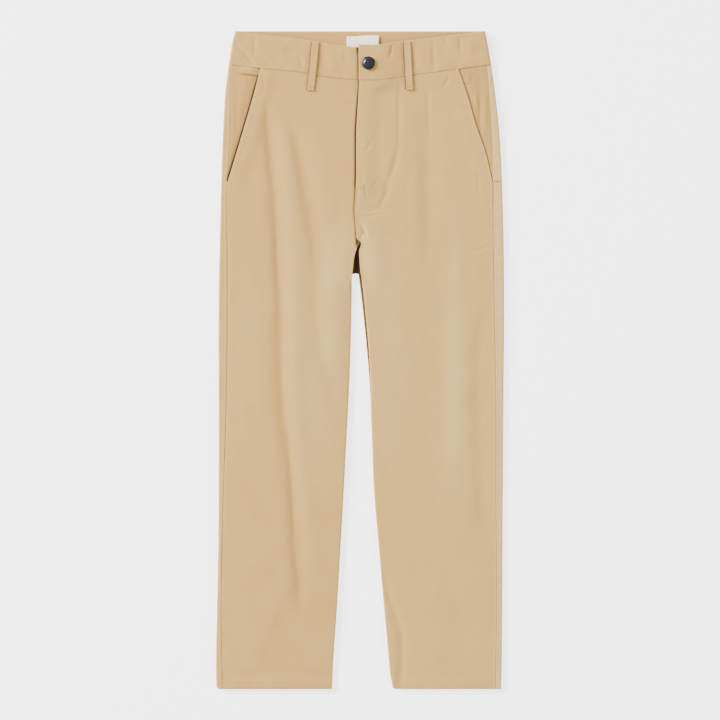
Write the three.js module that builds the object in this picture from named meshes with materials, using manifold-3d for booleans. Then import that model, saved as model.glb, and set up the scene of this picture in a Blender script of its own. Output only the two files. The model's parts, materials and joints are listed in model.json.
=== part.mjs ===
// Chino trousers for a child of about seven, laid flat on their back with the front up and the waist towards +Y.
// The backs lie on the surface and turn round each side to the side seams, the fronts lie on the backs, and the
// waistband runs as two halves from the fly, round a side, to the centre back. Right and left are the wearer's,
// so the right leg lies at -X. A place is given as across (X) and down (distance from the waist edge), in mm.
import * as THREE from "three";
import { mergeVertices } from "three/addons/utils/BufferGeometryUtils.js";
import Module from "manifold-3d";

const LENGTH = 756; // from the waist edge to the hem
const CLOTH = 1.2; // wall of the panels
const BAND_CLOTH = 1.8; // waistband, two layers and a stiffener
const LOOP_CLOTH = 1.4; // belt loop, a strip folded in three
const LABEL_CLOTH = 1; // woven ribbon
const SEAM_GAP = 0.3; // between pieces that meet at a seam
const LAY_GAP = 0.4; // between a piece and the one it lies on
const REST_GAP = 1.5; // between front and back at the turned sides
const BAND_GAP = 1.6; // the same inside the waistband, room for the label
const PUFF = 0.9; // how much higher the front lies in the middle of a leg
const BAND_RISE = 1; // lift of the front where the waistband holds it up
const BAND_RISE_LENGTH = 28;
const BAND_RISE_REACH = { from: 80, to: 135 }; // that lift dies out between these distances from the middle
const INSEAM_HEIGHT = CLOTH + REST_GAP / 2; // where front and back meet at the inner edge of a leg
const HIGHEST_FRONT = 5.3; // middle of the front's wall, which keeps the hollow under it below 4 mm

const BAND_HEIGHT = 38.5; // waistband at the sides
const CENTRE_BACK = -4.2;
const CROTCH = 278.5; // lower edge of the seat between the legs
const FLY_END = 178; // foot of the fly's overlap
const FLY_UNDERLAP = 8; // right front under the edge of the left
const BAND_UNDERLAP = 24; // right half of the waistband under the left
const LAP_EASE = 30; // length over which cloth comes down off an overlap
const FLY_FOOT_EASE = 26; // the same, downwards from the foot of the fly
const POCKET_END = 174; // foot of the slanted opening, on the side seam
const FACING_TUCK = 10; // pocket facing hidden under the front
const FACING_EASE = 14; // length over which the facing rises to its seam
const POCKET_LIFT = 0.8; // lift of a front over its facing
const POCKET_EASE = { across: 16, down: 40 }; // lengths over which that lift dies out
const HANG_END = 190; // from here down the rows of the fronts are level
const CURL_START = 2.4; // where the inner edge of a front begins to turn down

const BUTTON = { across: 9.6, down: 37.4, radius: 7.7, height: 3.1, rim: 1.5, bowl: 1.3 };
const BUTTON_HOLES = { count: 4, radius: 0.8, reach: 1.6 };
const BUTTONHOLE = { from: 13, to: 32.5, width: 1.2 };
const LOOP_WIDTH = 8.8;
const LOOP_SLACK = 0.7; // how far the middle of a loop stands off the waistband
const LOOP_FALL = 0.3; // slope with which a loop comes down off the waistband's lower edge
// Where each loop lies across at its top and at its foot, and how far it runs on below the waistband's seam.
const RIGHT_LOOP = { top: -51.5, foot: -57.4, tail: 19 };
const LEFT_LOOP = { top: 54, foot: 56.6, tail: 16 };
const LABEL = { left: -15, right: 21.5, top: 6, bottom: 21 };

const RIGHT = -1;
const LEFT = 1;
const SIDE_NAME = { [RIGHT]: "right", [LEFT]: "left" };
const { clamp, lerp, smoothstep } = THREE.MathUtils;

// A short table with named columns, the first of which is its key. It gives back a smooth reading of one column.
function table(columns, rows) {
  const last = rows.length - 1;
  return (column, key) => {
    const c = columns.indexOf(column);
    const slope = (k) => {
      const a = rows[Math.max(k - 1, 0)];
      const b = rows[Math.min(k + 1, last)];
      return (b[c] - a[c]) / (b[0] - a[0]);
    };
    let i = 0;
    while (i < last - 1 && key > rows[i + 1][0]) i++;
    const [a, b] = [rows[i], rows[i + 1]];
    const span = b[0] - a[0];
    const u = clamp((key - a[0]) / span, 0, 1);
    const v = 1 - u;
    const ends = v * v * (1 + 2 * u) * a[c] + u * u * (3 - 2 * u) * b[c];
    return ends + u * v * span * (v * slope(i) - u * slope(i + 1));
  };
}

// The outer edges of the laid garment.
const SIDE_EDGE = table(["down", "right", "left"], [
  [0, -143.2, 143.6],
  [11, -146.5, 146.1],
  [41, -151.3, 151.2],
  [68, -154.7, 155],
  [103, -156.9, 159.1],
  [149, -158.9, 162.3],
  [241, -161.3, 165.2],
  [330, -162.7, 165.8],
  [425, -162.6, 165],
  [528, -162.6, 164.3],
  [597, -163.1, 163.9],
  [666, -164.5, 163.6],
  [724, -165.6, 163.1],
  [756, -165.2, 162.3],
]);

// The inner edges of the legs, from the crotch to the hem.
const BACK_INNER = table(["down", "right", "left"], [
  [278, -9.3, -1.8],
  [310, -9.6, 2.1],
  [356, -10.6, 6.8],
  [402, -12, 10.8],
  [459, -14.9, 13.2],
  [528, -18.5, 15.9],
  [597, -22.5, 21.8],
  [666, -26.6, 27.8],
  [724, -30.7, 33.1],
  [742, -31.5, 34.8],
  [756, -32.2, 37.5],
]);
const FRONT_INNER = table(["down", "right", "left"], [
  [252, -5, -1.7],
  [266, -7.2, -1],
  [281, -9.4, 1.4],
  [310, -9.9, 5.1],
  [356, -10.9, 9.3],
  [402, -12.1, 11.9],
  [459, -15, 13.3],
  [528, -18.6, 16],
  [597, -22.6, 21.9],
  [666, -26.7, 27.9],
  [724, -30.8, 33.2],
  [742, -31.6, 34.9],
  [756, -32.3, 37.6],
]);

// The centre front: the edge of the fly, and below it the seam down to the crotch.
const CENTRE_FRONT = table(["down", "across"], [
  [16, -1.9],
  [56, -1.3],
  [76, -3.4],
  [128, -4.6],
  [180, -5.8],
  [210, -7.4],
  [241, -4.8],
  [252, -3.6],
]);
const FRONT_CROTCH = 247; // where the two fronts part
const FRONT_CURL = { from: 2, to: 30 }; // below the crotch, where the fronts' inner edges come to stand upright
const BACK_CURL = { [RIGHT]: 24, [LEFT]: 100 }; // the same for the backs, the left one slowly

// The side seams, which lie on the front, and the slanted edges of the pockets.
const SIDE_SEAM = table(["down", "right", "left"], [
  [40, -149.6, 146],
  [120, -149.8, 151.5],
  [175, -152.8, 152.2],
  [310, -152.4, 154],
  [425, -153.6, 155.9],
  [528, -157, 156.1],
  [650, -159.4, 157],
  [756, -158.4, 155.5],
]);
const POCKET_EDGE = table(["down", "right", "left"], [
  [44, -114.6, 112.8],
  [76, -124.2, 123.8],
  [108, -133.2, 133],
  [140, -143.8, 144.2],
  [174, -152.6, 152.1],
]);

// The waistband: how far its upper edge and its lower seam hang down across the front.
const BAND = {
  [RIGHT]: table(["across", "top", "seam"], [
    [-150, 0, 38.5],
    [-120, 3, 42.4],
    [-91, 6.7, 45.2],
    [-69, 9.3, 47.4],
    [-48, 12.9, 51.6],
    [-28, 15.8, 54.3],
    [-4, 18.6, 56],
    [30, 18.6, 56.6],
  ]),
  [LEFT]: table(["across", "top", "seam"], [
    [-5, 15.8, 56.5],
    [20, 16, 57],
    [39, 13.4, 54.6],
    [59, 10.8, 51.4],
    [88, 7.4, 47.4],
    [115, 3.8, 43.4],
    [150, 0, 38.5],
  ]),
};

// The largest folds of the fronts. Each has its columns and then the line, down and across, that it follows along
// the leg. It rises or sinks by its height, and dies out at both ends.
const FOLD_ENDS = 45;
const FOLD_COLUMNS = ["height", "width", "from", "to"];
const FOLD_TABLE = [
  [-1, 8, 66, 690, [[80, -108], [140, -102], [225, -96], [300, -92], [410, -92], [520, -82], [640, -71]]],
  [0.7, 11, 80, 660, [[80, -90], [180, -82], [300, -76], [410, -76], [520, -66], [640, -55]]],
  [-0.7, 9, 85, 470, [[100, -80], [160, -67], [260, -50], [340, -49], [450, -22]]],
  [0.6, 12, 150, 440, [[160, -48], [260, -33], [420, -28]]],
  [-0.8, 13, 60, 290, [[60, 76], [150, 79], [290, 80]]],
  [0.7, 10, 210, 420, [[210, 116], [420, 114]]],
  [-0.7, 9, 300, 600, [[300, 147], [380, 136], [600, 143]]],
  [-0.8, 5, 600, 800, [[610, 24], [640, 31], [674, 42], [700, 48], [760, 45.5]]],
  [0.9, 14, 190, 330, [[200, -14], [330, -20]]],
  [0.9, 14, 190, 330, [[200, 8], [330, 18]]],
];
const FOLDS = FOLD_TABLE.map((row) => {
  const fold = Object.fromEntries(FOLD_COLUMNS.map((name, k) => [name, row[k]]));
  return { ...fold, line: table(["down", "across"], row[FOLD_COLUMNS.length]) };
});

const bell = (t) => Math.exp(-t * t);
const ease = (value, from, to) => smoothstep(value, from, to);

// A share from 0 to 1 for how far a place is between the two edges of its leg, or of the hips above the legs.
function puffShare(across, down) {
  const right = SIDE_EDGE("right", down);
  const left = SIDE_EDGE("left", down);
  const arch = (a, b) => Math.sin(Math.PI * clamp((across - a) / (b - a), 0, 1));
  const hips = arch(right, left);
  const inner = BACK_INNER(across < CENTRE_BACK ? "right" : "left", Math.max(down, CROTCH));
  const leg = across < CENTRE_BACK ? arch(right, inner) : arch(inner, left);
  return lerp(hips, leg, ease(down, 170, 300));
}

// Height of the middle of the front cloth, folds and all, before any overlap lifts it.
function frontHeight(across, down) {
  let z = CLOTH * 1.5 + REST_GAP + PUFF * puffShare(across, down);
  for (const fold of FOLDS) {
    const ends = ease(down, fold.from, fold.from + FOLD_ENDS) * (1 - ease(down, fold.to - FOLD_ENDS, fold.to));
    z += fold.height * ends * bell((across - fold.line("across", down)) / fold.width);
  }
  const side = across < CENTRE_BACK ? RIGHT : LEFT;
  const belowBand = down - BAND[side]("seam", across);
  const held = 1 - ease(Math.abs(across), BAND_RISE_REACH.from, BAND_RISE_REACH.to);
  z += BAND_RISE * (1 - ease(belowBand, 0, BAND_RISE_LENGTH)) * held;
  return Math.min(z, HIGHEST_FRONT);
}

const edgeName = (side) => SIDE_NAME[side];
const sideEdge = (side, down) => SIDE_EDGE(edgeName(side), down);
const innerSide = (across, side, distance) => across - side * distance;

// Where the turned side comes level with the front: the start of the top layer.
function sideTurn(side, down, cloth = CLOTH, height = frontHeight) {
  const edge = sideEdge(side, down);
  const top = height(innerSide(edge, side, cloth + 1), down);
  const radius = (top - cloth / 2) / 2;
  return { radius, centre: innerSide(edge, side, cloth / 2 + radius), top };
}

// The side seam never lies on the turn itself.
function sideSeam(side, down) {
  const limit = Math.abs(sideTurn(side, down).centre) - 0.6;
  return side * Math.min(Math.abs(SIDE_SEAM(edgeName(side), down)), limit);
}

// The lift of the left front over the right, at the fly.
function flyLift(across, down) {
  const edge = CENTRE_FRONT("across", down);
  const overlap = 1 - ease(across, edge + FLY_UNDERLAP + 0.5, edge + FLY_UNDERLAP + LAP_EASE);
  return (CLOTH + LAY_GAP + SEAM_GAP / 2) * overlap * (1 - ease(down, FLY_END + 3, FLY_END + FLY_FOOT_EASE));
}

// The lift of a front over its pocket facing.
function pocketLift(side, across, down) {
  const past = side * (POCKET_EDGE(edgeName(side), down) - across);
  const overFacing = 1 - ease(past, FACING_TUCK, FACING_TUCK + POCKET_EASE.across);
  return POCKET_LIFT * overFacing * (1 - ease(down, POCKET_END + 8, POCKET_END + POCKET_EASE.down));
}

const place = (across, down, height) => new THREE.Vector3(across, LENGTH / 2 - down, height);

// A closed wall from a grid of places on its middle surface, each moved half the thickness both ways along the
// surface's own normal. Rows run down and columns run so that their cross product points out of the cloth.
function wall(grid, thickness) {
  const rows = grid.length;
  const columns = grid[0].length;
  const at = (i, j) => grid[clamp(i, 0, rows - 1)][clamp(j, 0, columns - 1)];
  const positions = [];
  for (const half of [thickness / 2, -thickness / 2])
    for (let i = 0; i < rows; i++)
      for (let j = 0; j < columns; j++) {
        const downwards = at(i + 1, j).clone().sub(at(i - 1, j));
        const sideways = at(i, j + 1).clone().sub(at(i, j - 1));
        const normal = downwards.cross(sideways).normalize();
        positions.push(...at(i, j).clone().addScaledVector(normal, half));
      }
  const outer = (i, j) => i * columns + j;
  const inner = (i, j) => rows * columns + outer(i, j);
  const faces = [];
  const quad = (a, b, c, d) => faces.push(a, b, c, a, c, d);
  for (let i = 0; i < rows - 1; i++)
    for (let j = 0; j < columns - 1; j++) {
      quad(outer(i, j), outer(i + 1, j), outer(i + 1, j + 1), outer(i, j + 1));
      quad(inner(i, j), inner(i, j + 1), inner(i + 1, j + 1), inner(i + 1, j));
    }
  for (let i = 0; i < rows - 1; i++) {
    quad(outer(i, 0), inner(i, 0), inner(i + 1, 0), outer(i + 1, 0));
    quad(outer(i + 1, columns - 1), inner(i + 1, columns - 1), inner(i, columns - 1), outer(i, columns - 1));
  }
  for (let j = 0; j < columns - 1; j++) {
    quad(outer(0, j + 1), inner(0, j + 1), inner(0, j), outer(0, j));
    quad(outer(rows - 1, j), inner(rows - 1, j), inner(rows - 1, j + 1), outer(rows - 1, j + 1));
  }
  const geometry = new THREE.BufferGeometry();
  geometry.setAttribute("position", new THREE.Float32BufferAttribute(positions, 3));
  geometry.setIndex(faces);
  return geometry;
}

const spread = (from, to, count) => Array.from({ length: count + 1 }, (_, k) => lerp(from, to, k / count));

// The last stretch of a panel's section, bent up or down towards the inseam: a list of [across, height] places.
// At a right angle it ends one seam gap short of the seam's own height.
function curl(side, edge, height, angle, direction) {
  const length = (Math.abs(height - INSEAM_HEIGHT) - SEAM_GAP) * (Math.PI / 2);
  const end = edge + side * (CLOTH / 2) * Math.sin(angle);
  const steps = 3;
  const reach = angle > 0.01 ? (length * Math.sin(angle)) / angle : length;
  return spread(0, 1, steps).map((u) => {
    const turned = angle * u;
    const along = angle > 0.01 ? (length * Math.sin(turned)) / angle : length * u;
    const rise = angle > 0.01 ? (length * (1 - Math.cos(turned))) / angle : 0;
    return [end + side * (reach - along), height + direction * rise];
  });
}

// A back: from the side seam on the front, round the side, along the surface to the centre back or the inseam.
function backPanel(side) {
  const seat = [BAND_HEIGHT + 1.5, 55, 75, 100, 130, 160, 190, 220, 250, 268, CROTCH];
  const leg = [CROTCH + 1, 290, 310, 333, 356, 379, 402, 430, 459, 493, 528, 562, 597, 632, 666, 700, 724, 742, 756];
  const turns = 6;
  const grid = [...seat, ...leg].map((down) => {
    const onSeat = down <= CROTCH;
    const { radius, centre } = sideTurn(side, down);
    const strip = spread(innerSide(sideSeam(side, down), side, -SEAM_GAP / 2), centre, 2)
      .slice(0, -1)
      .map((across) => [across, frontHeight(across, down)]);
    const turn = spread(Math.PI / 2, -Math.PI / 2, turns).map((angle) => [
      centre + side * radius * Math.cos(angle),
      CLOTH / 2 + radius + radius * Math.sin(angle),
    ]);
    const edge = onSeat ? CENTRE_BACK + (side * SEAM_GAP) / 2 : BACK_INNER(edgeName(side), down);
    const angle = onSeat ? 0 : (Math.PI / 2) * ease(down, CROTCH + 4, CROTCH + BACK_CURL[side]);
    const end = curl(side, edge, CLOTH / 2, angle, 1);
    const floor = spread(centre, end[0][0], 7)
      .slice(1, -1)
      .map((across) => [across, CLOTH / 2]);
    return [...strip, ...turn, ...floor, ...end].map(([across, height]) => place(across, down, height));
  });
  return wall(facingOut(grid, side), CLOTH);
}

// A grid whose columns run from the wearer's right to left on top faces up, so one of the two sides is turned round.
const facingOut = (grid, side) => (side === RIGHT ? grid.map((row) => row.reverse()) : grid);

// The place on the front where a row that starts this far down really lies: near the waistband the rows follow
// its seam, further down they are level.
function hang(side, down, across) {
  const dip = BAND[side]("seam", across) + SEAM_GAP * 1.5 - BAND_HEIGHT;
  return down + dip * (1 - ease(down, BAND_HEIGHT, HANG_END));
}

// The outer edge of a front: the slanted pocket edge, then the side seam.
function frontOuter(side, down) {
  const seam = innerSide(sideSeam(side, down), side, SEAM_GAP / 2);
  if (down >= POCKET_END) return seam;
  return side * Math.min(Math.abs(POCKET_EDGE(edgeName(side), down)), Math.abs(seam));
}

// The inner edge of a front: the fly's overlap, the centre seam, then the inseam.
function frontInner(side, down) {
  if (down > FRONT_CROTCH) return FRONT_INNER(edgeName(side), Math.max(down, 252));
  const edge = CENTRE_FRONT("across", down);
  if (side === LEFT) return edge;
  return down < FLY_END ? edge + FLY_UNDERLAP : edge - SEAM_GAP;
}

// A front: from the pocket edge or side seam across to the fly, the centre seam or the turned-down inseam.
function frontPanel(side) {
  const rows = [
    ...[BAND_HEIGHT, 50, 62, 76, 90, 104, 118, 132, 146, 160, 170, FLY_END - 0.5, FLY_END + 2, 190, 204, 220, 234],
    ...[FRONT_CROTCH, FRONT_CROTCH + 5, 262, 272, 282, 296, 310, 333, 356, 379, 402, 430, 459, 493, 528, 562, 597],
    ...[632, 666, 700, 724, 742, LENGTH],
  ];
  const across = 15;
  const height = (x, down) =>
    frontHeight(x, down) + pocketLift(side, x, down) + (side === LEFT ? flyLift(x, down) : 0);
  const edgeAt = (edge, down) => {
    let x = edge(side, down);
    for (let k = 0; k < 6; k++) x = edge(side, hang(side, down, x));
    return x;
  };
  const grid = rows.map((row) => {
    const outer = edgeAt(frontOuter, row);
    const inner = edgeAt(frontInner, row);
    const angle = (Math.PI / 2) * ease(row, CROTCH + FRONT_CURL.from, CROTCH + FRONT_CURL.to);
    const start = innerSide(inner, -side, CURL_START);
    const flat = spread(outer, start, across).map((x) => [x, height(x, hang(side, row, x))]);
    const end = curl(side, inner, height(start, hang(side, row, start)), angle, -1).slice(1);
    return [...flat, ...end].map(([x, z]) => place(x, hang(side, row, x), z));
  });
  return wall(facingOut(grid, side), CLOTH);
}

// A pocket facing: sewn into the side seam and lying under the slanted edge of the front.
function pocketFacing(side) {
  const rows = [BAND_HEIGHT, 50, 62, 76, 92, 108, 124, 140, 156, 168, POCKET_END + 6];
  const low = CLOTH * 1.5 + LAY_GAP;
  const grid = rows.map((row) => {
    const outer = innerSide(sideSeam(side, row), side, SEAM_GAP * 1.5);
    const slant = POCKET_EDGE(edgeName(side), row);
    const inner = innerSide(slant, side, FACING_TUCK);
    return spread(outer, inner, 8).map((x) => {
      const shown = side * (x - slant);
      const z = lerp(low, frontHeight(x, row), ease(shown, -2, FACING_EASE));
      return place(x, lerp(row, hang(side, row, x), 1 - ease(row, BAND_HEIGHT, 70)), z);
    });
  });
  return wall(facingOut(grid, side), CLOTH);
}

// Height of the middle of the waistband's top layer. The left half is lifted over the end of the right.
function bandHeight(side, across, down) {
  const puff = PUFF * 0.5 * puffShare(across, down);
  const lap = side === LEFT ? 1 - ease(across, BAND_UNDERLAP, BAND_UNDERLAP + LAP_EASE) : 0;
  return BAND_CLOTH * 1.5 + BAND_GAP + puff + (BAND_CLOTH + LAY_GAP) * lap;
}

// A half of the waistband: from the fly outwards, round the side and along the surface to the centre back.
function waistband(side) {
  const start = side === RIGHT ? CENTRE_FRONT("across", 40) + BAND_UNDERLAP : CENTRE_FRONT("across", 40);
  const height = (x, down) => bandHeight(side, x, down);
  const grid = spread(0, 1, 4).map((v) => {
    const level = lerp(0.3, BAND_HEIGHT, v);
    const { radius, centre } = sideTurn(side, level, BAND_CLOTH, height);
    const front = spread(start, centre, 16).map((x) => {
      const down = lerp(BAND[side]("top", x), BAND[side]("seam", x), v);
      return [x, down, height(x, down)];
    });
    const turn = spread(Math.PI / 2, -Math.PI / 2, 6)
      .slice(1)
      .map((angle) => [
        centre + side * radius * Math.cos(angle),
        lerp(0, BAND_HEIGHT, v),
        BAND_CLOTH / 2 + radius + radius * Math.sin(angle),
      ]);
    const back = spread(centre, CENTRE_BACK + (side * SEAM_GAP) / 2, 6)
      .slice(1)
      .map((x) => [x, lerp(0, BAND_HEIGHT + 1.2, v), BAND_CLOTH / 2]);
    return [...front, ...turn, ...back].map(([x, down, z]) => place(x, down, z));
  });
  return wall(facingOut(grid, -side), BAND_CLOTH);
}

// A belt loop: a folded strip over the waistband, from its upper edge to a stitched tail below its seam.
function beltLoop(side, { top, foot, tail }) {
  const bandTop = BAND[side]("top", top);
  const bandSeam = BAND[side]("seam", foot);
  const onBand = (x, down) => bandHeight(side, x, down) + BAND_CLOTH / 2;
  const onFront = (x, down) => frontHeight(x, down) + CLOTH / 2;
  const leaves = bandSeam + 2;
  const upper = [bandTop + 0.5, bandTop + 3, bandTop + 8, bandSeam - 12, bandSeam - 3, leaves];
  const rows = [...upper, bandSeam + 6, bandSeam + 10, bandSeam + tail];
  const length = rows.at(-1) - rows[0];
  const grid = rows.map((down) => {
    const u = (down - rows[0]) / length;
    const middle = lerp(top, foot, u);
    const slack = LOOP_SLACK * Math.sin(Math.PI * clamp(u * 1.1, 0, 1));
    return spread(middle - LOOP_WIDTH / 2, middle + LOOP_WIDTH / 2, 4).map((x) => {
      const falling = onBand(x, bandSeam) - (down - leaves) * LOOP_FALL;
      const under = down > leaves ? Math.max(onFront(x, down), falling) : onBand(x, Math.min(down, bandSeam));
      return place(x, down, under + LAY_GAP + LOOP_CLOTH / 2 + slack);
    });
  });
  return wall(grid, LOOP_CLOTH);
}

// The label: a folded ribbon on the inside of the back waistband, its lower edge behind the front.
function label() {
  const { left, right, top, bottom } = LABEL;
  const geometry = new THREE.BoxGeometry(right - left, bottom - top, LABEL_CLOTH);
  geometry.translate(...place((left + right) / 2, (top + bottom) / 2, BAND_CLOTH + LAY_GAP + LABEL_CLOTH / 2));
  return geometry;
}

// The button: a turned disc with a raised rim round a bowl, and four holes through it.
function button(solids) {
  const { across, down, radius, height, rim, bowl } = BUTTON;
  const profile = [
    [0, 0],
    [radius * 0.72, 0],
    [radius * 0.95, height * 0.3],
    [radius, height * 0.55],
    [radius * 0.96, height * 0.85],
    [radius - rim * 0.6, height],
    [radius - rim, height * 0.93],
    [radius - rim * 1.6, height - bowl * 0.8],
    [radius * 0.45, height - bowl],
    [0, height - bowl],
  ].map(([x, y]) => new THREE.Vector2(x, y));
  const disc = new THREE.LatheGeometry(profile, 32).rotateX(Math.PI / 2);
  let solid = solids.from(disc);
  for (let k = 0; k < BUTTON_HOLES.count; k++) {
    const angle = ((k + 0.5) / BUTTON_HOLES.count) * 2 * Math.PI;
    const drill = new THREE.CylinderGeometry(BUTTON_HOLES.radius, BUTTON_HOLES.radius, height * 3, 10);
    drill.rotateX(Math.PI / 2).translate(BUTTON_HOLES.reach * Math.cos(angle), BUTTON_HOLES.reach * Math.sin(angle), 0);
    solid = solid.subtract(solids.from(drill));
  }
  const seat = bandHeight(LEFT, across, down) + BAND_CLOTH / 2 + LAY_GAP + 0.1;
  return solids.back(solid).translate(...place(across, down, seat));
}

// The buttonhole, cut through the left half of the waistband where it laps over the right.
function cutButtonhole(band, solids) {
  const { from, to, width } = BUTTONHOLE;
  const slot = new THREE.BoxGeometry(to - from, width, BAND_CLOTH * 2);
  const middle = (from + to) / 2;
  slot.translate(...place(middle, BUTTON.down, bandHeight(LEFT, middle, BUTTON.down)));
  return solids.back(solids.from(band).subtract(solids.from(slot)));
}

// Solids for cutting, from closed geometry and back.
async function solidTools() {
  const wasm = await Module();
  wasm.setup();
  return {
    from(geometry) {
      const bare = geometry.clone();
      bare.deleteAttribute("normal");
      bare.deleteAttribute("uv");
      const merged = mergeVertices(bare, 1e-4);
      const vertProperties = merged.attributes.position.array;
      const triVerts = new Uint32Array(merged.index.array);
      return new wasm.Manifold(new wasm.Mesh({ numProp: 3, vertProperties, triVerts }));
    },
    back(solid) {
      const mesh = solid.getMesh();
      const geometry = new THREE.BufferGeometry();
      geometry.setAttribute("position", new THREE.BufferAttribute(mesh.vertProperties, 3));
      geometry.setIndex(new THREE.BufferAttribute(mesh.triVerts, 1));
      return geometry;
    },
  };
}

const TWILL = { color: 0xd2b891, roughness: 0.9, metalness: 0 };
const RIBBON = { color: 0xe8e5d9, roughness: 0.85, metalness: 0 };
const RESIN = { color: 0x2a2c3c, roughness: 0.3, metalness: 0 };

const trousers = new THREE.Group();
function add(name, geometry, finish) {
  geometry.computeVertexNormals();
  const mesh = new THREE.Mesh(geometry, new THREE.MeshStandardMaterial(finish));
  mesh.name = name;
  trousers.add(mesh);
}

const solids = await solidTools();
for (const side of [RIGHT, LEFT]) {
  add(`back_${SIDE_NAME[side]}`, backPanel(side), TWILL);
  add(`front_${SIDE_NAME[side]}`, frontPanel(side), TWILL);
  add(`pocket_facing_${SIDE_NAME[side]}`, pocketFacing(side), TWILL);
}
add("waistband_right", waistband(RIGHT), TWILL);
add("waistband_left", cutButtonhole(waistband(LEFT), solids), TWILL);
add("belt_loop_right", beltLoop(RIGHT, RIGHT_LOOP), TWILL);
add("belt_loop_left", beltLoop(LEFT, LEFT_LOOP), TWILL);
add("label", label(), RIBBON);
add("button", button(solids), RESIN);

export default trousers;
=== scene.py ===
"""Chino trousers for a child of about seven, laid flat on a pale floor with the front up.

Across is X and down is the distance from the waist edge towards the hems, both in millimetres. Right
and left are the wearer's, so the right leg lies at -X. Every sheet of cloth is shaped from its middle
surface and given a wall.
"""

import json
import math
import random

import bpy
import numpy as np
from mathutils import Matrix, Vector, noise
from mathutils.bvhtree import BVHTree

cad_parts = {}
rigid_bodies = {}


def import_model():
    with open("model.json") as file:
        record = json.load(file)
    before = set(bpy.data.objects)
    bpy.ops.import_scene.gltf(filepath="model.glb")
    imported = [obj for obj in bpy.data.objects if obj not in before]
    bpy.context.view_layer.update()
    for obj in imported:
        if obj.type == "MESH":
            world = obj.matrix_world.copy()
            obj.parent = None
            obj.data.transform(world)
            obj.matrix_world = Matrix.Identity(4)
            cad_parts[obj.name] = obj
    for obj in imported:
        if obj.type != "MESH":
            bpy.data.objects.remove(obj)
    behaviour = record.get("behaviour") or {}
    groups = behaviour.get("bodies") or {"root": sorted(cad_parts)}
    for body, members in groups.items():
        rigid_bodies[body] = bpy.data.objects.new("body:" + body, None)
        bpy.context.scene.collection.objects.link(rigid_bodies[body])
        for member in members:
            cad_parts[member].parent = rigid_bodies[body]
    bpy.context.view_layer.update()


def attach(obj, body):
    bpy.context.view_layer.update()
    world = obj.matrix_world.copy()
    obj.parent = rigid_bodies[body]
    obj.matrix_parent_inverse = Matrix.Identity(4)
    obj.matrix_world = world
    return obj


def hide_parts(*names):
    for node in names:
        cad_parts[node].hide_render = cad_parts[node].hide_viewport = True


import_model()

# The floor and the light, as in a studio picture of clothes: a pale matt floor that glows a little so that it
# stays near white, a broad soft light from the upper left, a weak one from the lower right, and a bright
# even surround.
MM = 0.001
FLOOR_DROP = 0.4 * MM


def linear(hex_colour):
    """An sRGB hex colour as linear red, green, blue and alpha."""
    parts = [int(hex_colour[i : i + 2], 16) / 255 for i in (1, 3, 5)]
    return [c / 12.92 if c <= 0.04045 else ((c + 0.055) / 1.055) ** 2.4 for c in parts] + [1.0]


def add(tree, kind, settings=None, links=None):
    """A shader node of one kind, with its settings and what feeds it, each by name or by number. A node given
    as a link stands for its first output."""
    node = tree.nodes.new("ShaderNode" + kind)
    for name, value in (settings or {}).items():
        if isinstance(name, int) or name in node.inputs:
            node.inputs[name].default_value = value
        else:
            setattr(node, name, value)
    for name, source in (links or {}).items():
        tree.links.new(getattr(source, "outputs", [source])[0], node.inputs[name])
    return node


def new_material(name):
    """A material of that name with an empty tree."""
    material = bpy.data.materials.new(name)
    material.use_nodes = True
    material.node_tree.nodes.clear()
    return material, material.node_tree


def deselect():
    """Object mode with nothing selected."""
    if bpy.context.object and bpy.context.object.mode != "OBJECT":
        bpy.ops.object.mode_set(mode="OBJECT")
    bpy.ops.object.select_all(action="DESELECT")


def pick(piece):
    """One object alone selected and active."""
    deselect()
    piece.select_set(True)
    bpy.context.view_layer.objects.active = piece


deselect()
bpy.ops.mesh.primitive_plane_add(size=8, location=(0, 0, -FLOOR_DROP))
floor = bpy.context.object
floor.name = "floor"
floor_paint, tree = new_material("matt_floor_paint")
matt = {
    "Base Color": linear("#FAF9F8"), "Roughness": 0.9,
    "Emission Color": linear("#FFFFFF"), "Emission Strength": 2.2,
}
shader = add(tree, "BsdfPrincipled", matt)
add(tree, "OutputMaterial", links={"Surface": shader})
floor.data.materials.append(floor_paint)

world = bpy.data.worlds.new("studio")
bpy.context.scene.world = world
world.use_nodes = True
world.node_tree.nodes["Background"].inputs["Color"].default_value = linear("#FFFFFF")
world.node_tree.nodes["Background"].inputs["Strength"].default_value = 0.78


def soft_light(name, place, size, power):
    """A square area light that faces the middle of the garment."""
    data = bpy.data.lights.new(name, "AREA")
    data.size = size
    data.energy = power
    light = bpy.data.objects.new(name, data)
    light.location = place
    light.rotation_euler = (-Vector(place)).to_track_quat("-Z", "Y").to_euler()
    bpy.context.scene.collection.objects.link(light)
    return light


soft_light("key_light", (-4.6, 2.6, 2.1), 2.2, 1320)
# The weak light brightens the shaded sides and draws no reflection of its own on the button.
soft_light("fill_light", (3.2, -1.2, 1.6), 1.8, 150).visible_glossy = False

# The camera: straight above the middle of the garment, with a long lens, so that all of it shows in a
# square picture and nothing leans.
PICTURE_WIDTH = 828 * MM
CAMERA_HEIGHT = 3.2
SENSOR_WIDTH = 36
camera_data = bpy.data.cameras.new("camera")
camera_data.sensor_width = SENSOR_WIDTH
camera_data.lens = SENSOR_WIDTH * CAMERA_HEIGHT / PICTURE_WIDTH
camera = bpy.data.objects.new("camera", camera_data)
camera.location = (0, 0, CAMERA_HEIGHT)
bpy.context.scene.collection.objects.link(camera)
bpy.context.scene.camera = camera

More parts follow.
